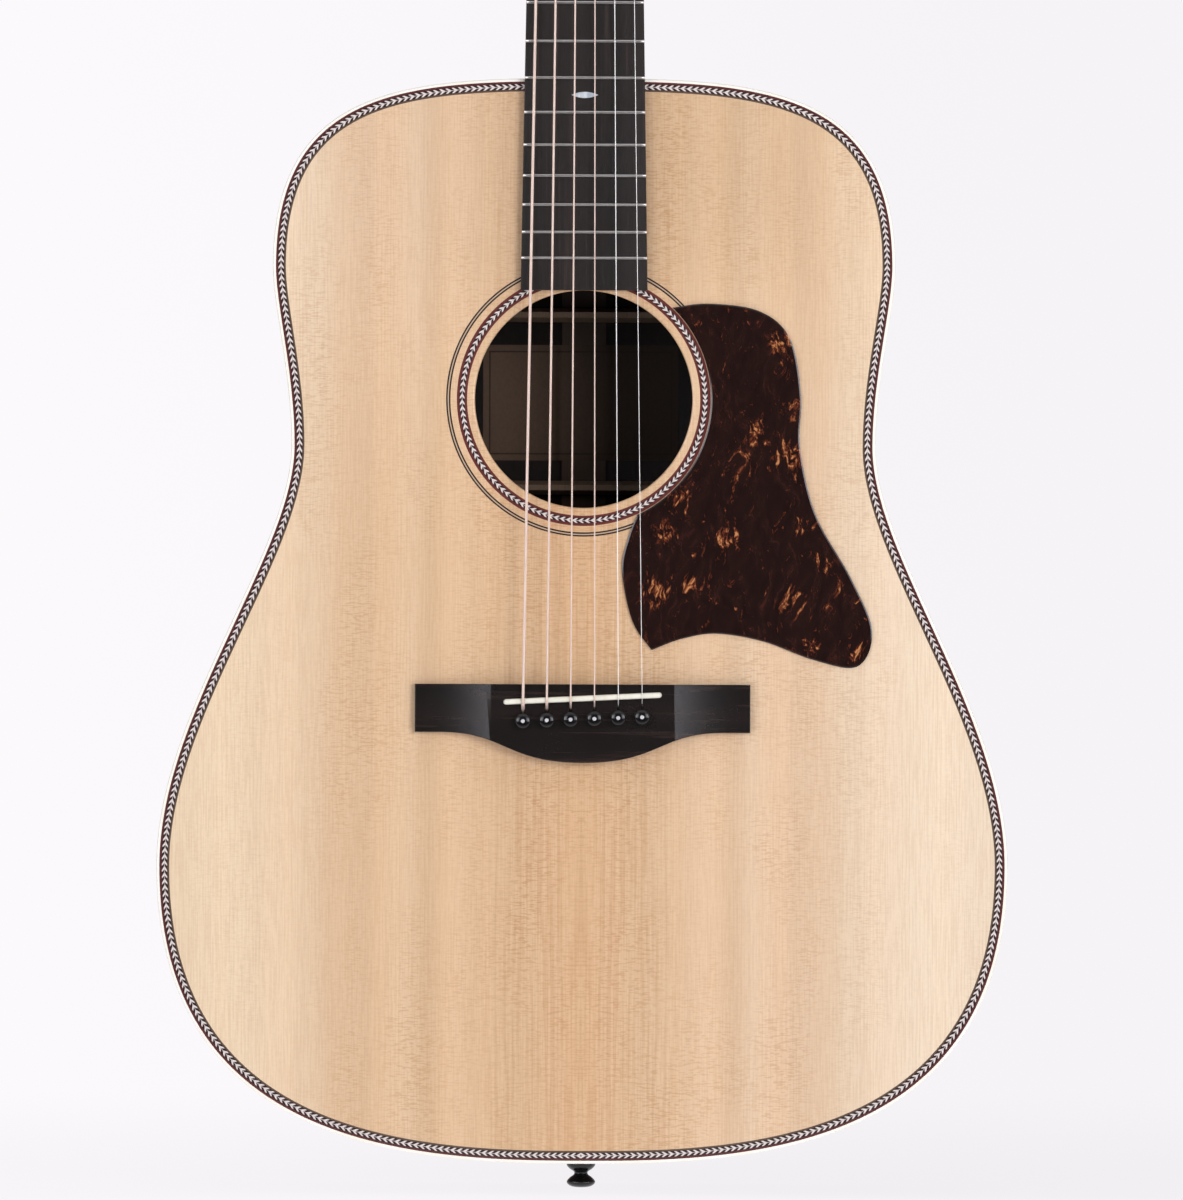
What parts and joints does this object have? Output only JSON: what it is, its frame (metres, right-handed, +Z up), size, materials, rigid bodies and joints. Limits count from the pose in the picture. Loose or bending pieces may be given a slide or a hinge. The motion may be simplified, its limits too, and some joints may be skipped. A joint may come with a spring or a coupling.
{
  "type": "acoustic guitar",
  "caption": "Square-shouldered acoustic guitar: braced hollow spruce and rosewood body, carved neck, fretted board, pinned bridge, taut strings and geared tuners that turn.",
  "frame": {"origin": "seat of the end pin: the middle of the rim at the tail, where a stand's cradle carries the guitar", "axes": "+Z up the neck towards the headstock, +X to the treble side (the player's lower side), +Y from the soundboard to the back, so the front faces -Y"},
  "size_m": [0.398, 0.1377, 1.055],
  "materials": {
    "spruce_top": "clear gloss lacquer over quarter-sawn spruce",
    "rosewood": "clear gloss lacquer over dark figured rosewood",
    "mahogany": "satin lacquer",
    "brace_spruce": "bare sanded wood",
    "maple": "bare sanded wood",
    "cedar": "bare sanded wood",
    "ebony": "oiled, nearly matte",
    "bone": "polished bone",
    "cream_plastic": "cream celluloid under lacquer",
    "marquetry": "black and white herringbone between maroon lines, under lacquer",
    "tortoise_plastic": "polished dark tortoise celluloid",
    "black_plastic": "polished",
    "steel": "plain drawn bar",
    "plain_wire": "drawn music wire",
    "bronze_wire": "bronze winding",
    "nickel": "polished nickel plate"
  },
  "bodies": {
    "guitar": {"soundboard": "spruce_top", "back_plate": "rosewood", "side_bass": "rosewood", "side_treble": "rosewood", "neck": "mahogany", "neck_block": "mahogany", "tail_block": "mahogany", "x_brace": "brace_spruce", "transverse_brace": "brace_spruce", "tone_bar_upper": "brace_spruce", "tone_bar_lower": "brace_spruce", "back_brace_1": "brace_spruce", "back_brace_2": "brace_spruce", "back_brace_3": "brace_spruce", "back_brace_4": "brace_spruce", "bridge_plate": "maple", "back_strip": "cedar", "fretboard": "ebony", "bridge": "ebony", "head_veneer": "ebony", "heel_cap": "ebony", "nut": "bone", "saddle": "bone", "binding_top": "cream_plastic", "binding_back": "cream_plastic", "purfling": "marquetry", "rosette": "marquetry", "pickguard": "tortoise_plastic", "end_pin": "black_plastic", "truss_rod": "steel", "string_1": "plain_wire", "string_2": "plain_wire", "string_3": "bronze_wire", "string_4": "bronze_wire", "string_5": "bronze_wire", "string_6": "bronze_wire", "tuner_housing_1": "nickel", "tuner_housing_2": "nickel", "tuner_housing_3": "nickel", "tuner_housing_4": "nickel", "tuner_housing_5": "nickel", "tuner_housing_6": "nickel"},
    "bridge_pin_1_body": {"bridge_pin_1": "black_plastic"},
    "bridge_pin_2_body": {"bridge_pin_2": "black_plastic"},
    "bridge_pin_3_body": {"bridge_pin_3": "black_plastic"},
    "bridge_pin_4_body": {"bridge_pin_4": "black_plastic"},
    "bridge_pin_5_body": {"bridge_pin_5": "black_plastic"},
    "bridge_pin_6_body": {"bridge_pin_6": "black_plastic"},
    "tuner_key_1_body": {"tuner_key_1": "nickel"},
    "tuner_key_2_body": {"tuner_key_2": "nickel"},
    "tuner_key_3_body": {"tuner_key_3": "nickel"},
    "tuner_key_4_body": {"tuner_key_4": "nickel"},
    "tuner_key_5_body": {"tuner_key_5": "nickel"},
    "tuner_key_6_body": {"tuner_key_6": "nickel"},
    "tuner_post_1_body": {"tuner_post_1": "nickel"},
    "tuner_post_2_body": {"tuner_post_2": "nickel"},
    "tuner_post_3_body": {"tuner_post_3": "nickel"},
    "tuner_post_4_body": {"tuner_post_4": "nickel"},
    "tuner_post_5_body": {"tuner_post_5": "nickel"},
    "tuner_post_6_body": {"tuner_post_6": "nickel"}
  },
  "joints": [
    {"name": "tuner_key_1_turn", "type": "hinge", "parent": "guitar", "child": "tuner_key_1_body", "pos_m": [0.02038, -0.02919, 0.91275], "axis": [1, 0, 0], "continuous": true},
    {"name": "tuner_key_2_turn", "type": "hinge", "parent": "guitar", "child": "tuner_key_2_body", "pos_m": [0.02146, -0.01884, 0.95139], "axis": [1, 0, 0], "continuous": true},
    {"name": "tuner_key_3_turn", "type": "hinge", "parent": "guitar", "child": "tuner_key_3_body", "pos_m": [0.02254, -0.00849, 0.99003], "axis": [1, 0, 0], "continuous": true},
    {"name": "tuner_key_4_turn", "type": "hinge", "parent": "guitar", "child": "tuner_key_4_body", "pos_m": [-0.02254, -0.00849, 0.99003], "axis": [-1, 0, 0], "continuous": true},
    {"name": "tuner_key_5_turn", "type": "hinge", "parent": "guitar", "child": "tuner_key_5_body", "pos_m": [-0.02146, -0.01884, 0.95139], "axis": [-1, 0, 0], "continuous": true},
    {"name": "tuner_key_6_turn", "type": "hinge", "parent": "guitar", "child": "tuner_key_6_body", "pos_m": [-0.02038, -0.02919, 0.91275], "axis": [-1, 0, 0], "continuous": true},
    {"name": "tuner_post_1_turn", "type": "hinge", "parent": "guitar", "child": "tuner_post_1_body", "pos_m": [0.02038, -0.03635, 0.9069], "axis": [0, -0.9659, 0.2588], "continuous": true},
    {"name": "tuner_post_2_turn", "type": "hinge", "parent": "guitar", "child": "tuner_post_2_body", "pos_m": [0.02146, -0.026, 0.94554], "axis": [0, -0.9659, 0.2588], "continuous": true},
    {"name": "tuner_post_3_turn", "type": "hinge", "parent": "guitar", "child": "tuner_post_3_body", "pos_m": [0.02254, -0.01564, 0.98418], "axis": [0, -0.9659, 0.2588], "continuous": true},
    {"name": "tuner_post_4_turn", "type": "hinge", "parent": "guitar", "child": "tuner_post_4_body", "pos_m": [-0.02254, -0.01564, 0.98418], "axis": [0, -0.9659, 0.2588], "continuous": true},
    {"name": "tuner_post_5_turn", "type": "hinge", "parent": "guitar", "child": "tuner_post_5_body", "pos_m": [-0.02146, -0.026, 0.94554], "axis": [0, -0.9659, 0.2588], "continuous": true},
    {"name": "tuner_post_6_turn", "type": "hinge", "parent": "guitar", "child": "tuner_post_6_body", "pos_m": [-0.02038, -0.03635, 0.9069], "axis": [0, -0.9659, 0.2588], "continuous": true},
    {"name": "bridge_pin_1_pull", "type": "slide", "parent": "guitar", "child": "bridge_pin_1_body", "axis": [0, -1, 0], "range_m": [0, 0.03]},
    {"name": "bridge_pin_2_pull", "type": "slide", "parent": "guitar", "child": "bridge_pin_2_body", "axis": [0, -1, 0], "range_m": [0, 0.03]},
    {"name": "bridge_pin_3_pull", "type": "slide", "parent": "guitar", "child": "bridge_pin_3_body", "axis": [0, -1, 0], "range_m": [0, 0.03]},
    {"name": "bridge_pin_4_pull", "type": "slide", "parent": "guitar", "child": "bridge_pin_4_body", "axis": [0, -1, 0], "range_m": [0, 0.03]},
    {"name": "bridge_pin_5_pull", "type": "slide", "parent": "guitar", "child": "bridge_pin_5_body", "axis": [0, -1, 0], "range_m": [0, 0.03]},
    {"name": "bridge_pin_6_pull", "type": "slide", "parent": "guitar", "child": "bridge_pin_6_body", "axis": [0, -1, 0], "range_m": [0, 0.03]}
  ],
  "couplings": [
    {"joint": "tuner_post_1_turn", "follows": "tuner_key_1_turn", "ratio": -0.055556},
    {"joint": "tuner_post_2_turn", "follows": "tuner_key_2_turn", "ratio": -0.055556},
    {"joint": "tuner_post_3_turn", "follows": "tuner_key_3_turn", "ratio": -0.055556},
    {"joint": "tuner_post_4_turn", "follows": "tuner_key_4_turn", "ratio": 0.055556},
    {"joint": "tuner_post_5_turn", "follows": "tuner_key_5_turn", "ratio": 0.055556},
    {"joint": "tuner_post_6_turn", "follows": "tuner_key_6_turn", "ratio": 0.055556}
  ]
}
